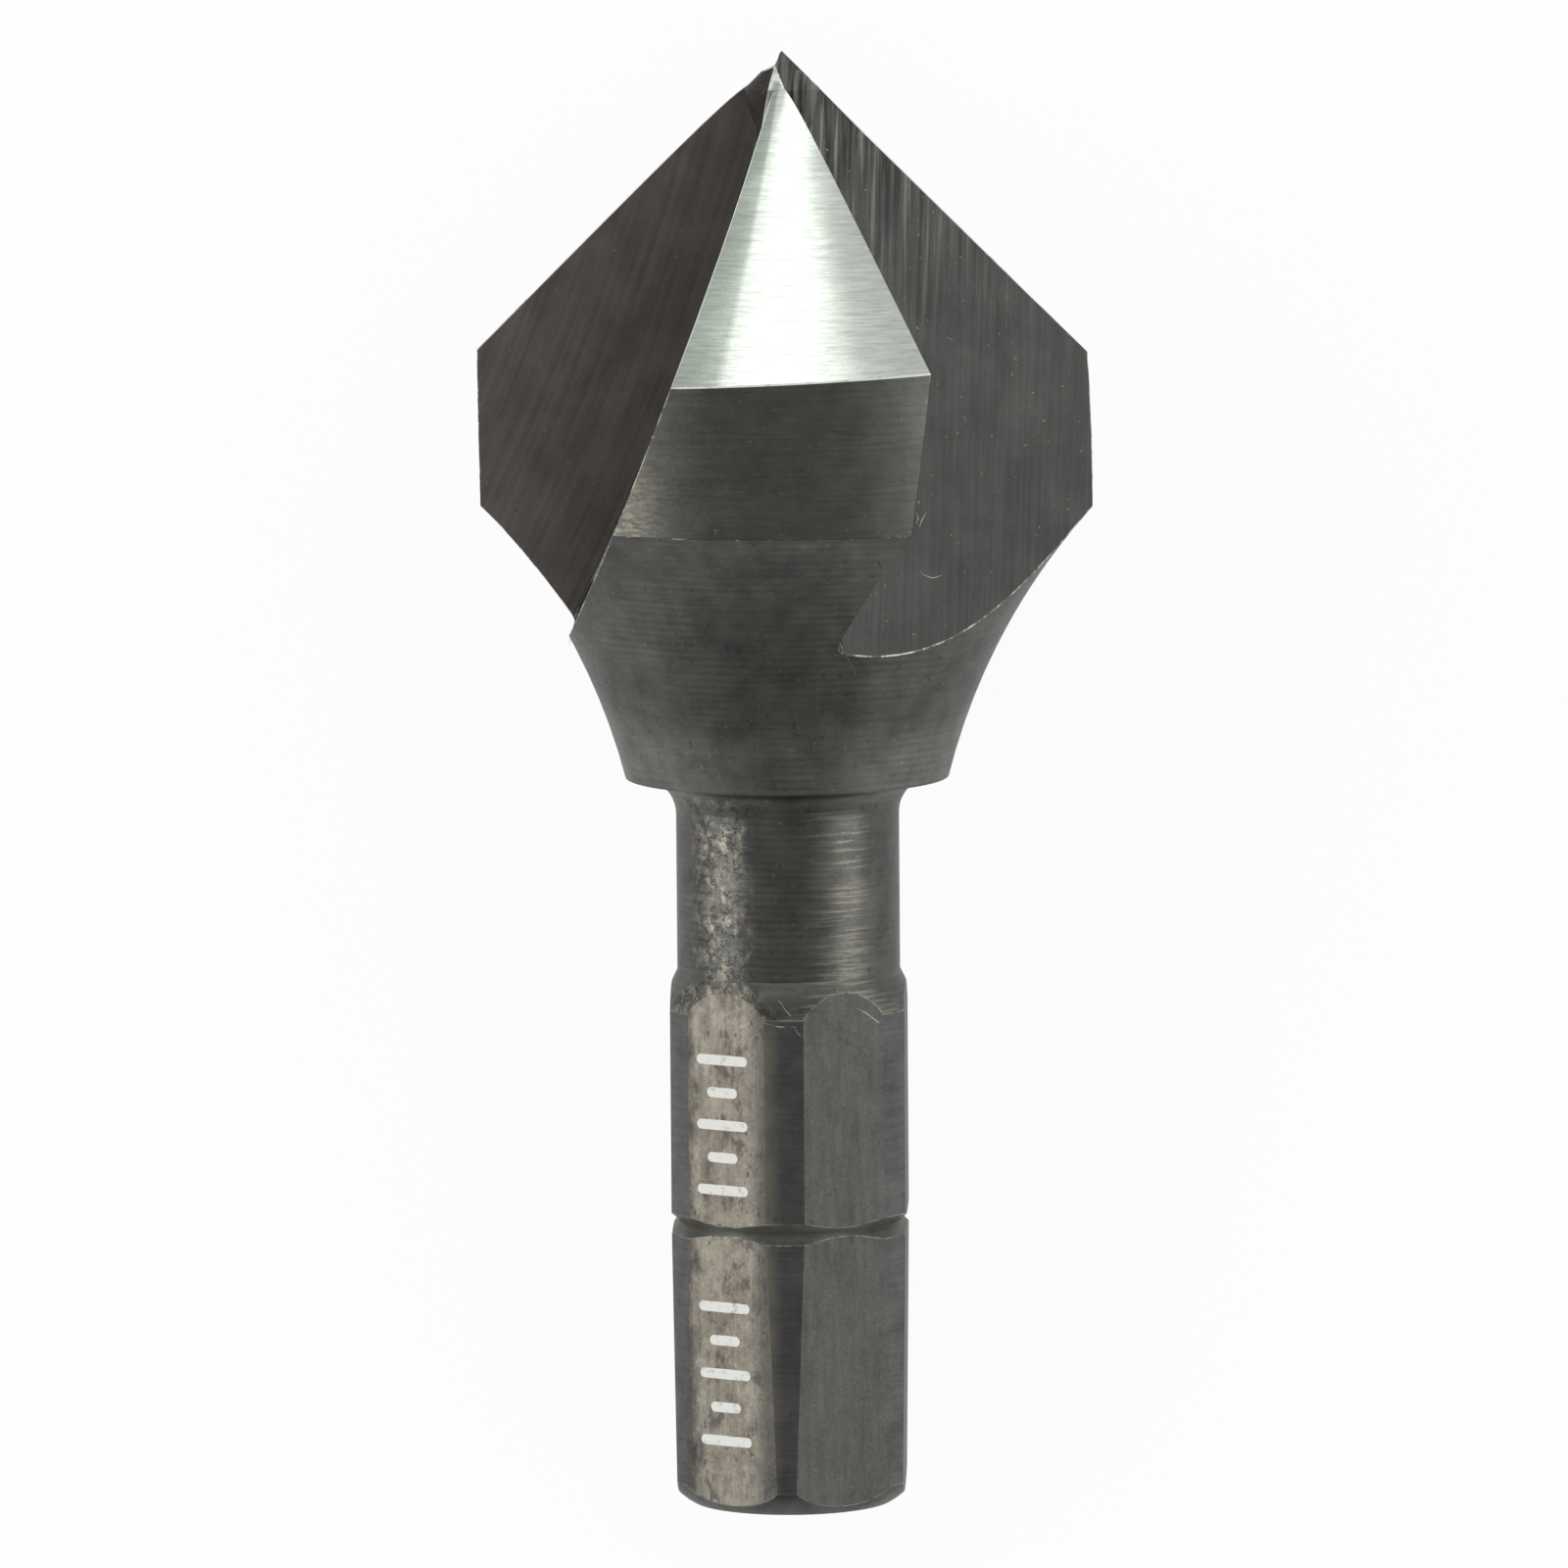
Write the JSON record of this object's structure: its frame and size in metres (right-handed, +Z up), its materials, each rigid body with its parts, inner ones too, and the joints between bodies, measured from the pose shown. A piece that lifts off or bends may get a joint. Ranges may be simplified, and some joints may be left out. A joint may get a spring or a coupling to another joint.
{
  "type": "countersink bit",
  "caption": "Fluted countersink bit with a right-angled cutting cone, a short straight margin, a concave run down to a round neck, and a hex shank with a snap ring groove, lying on its side.",
  "frame": {"origin": "on the floor under the middle of the bit's box, with the bit lying at rest on two lips of its margin and on the end of its shank", "axes": "+Z up; +Y runs level along the bit, towards its point, which is raised about 8 degrees; +X to the right"},
  "size_m": [0.0164, 0.0392, 0.0157],
  "materials": {
    "tool_steel": "dark oxide on the body, with the cone's lands ground bright"
  },
  "bodies": {
    "root": {"countersink_bit": "tool_steel"}
  },
  "joints": []
}
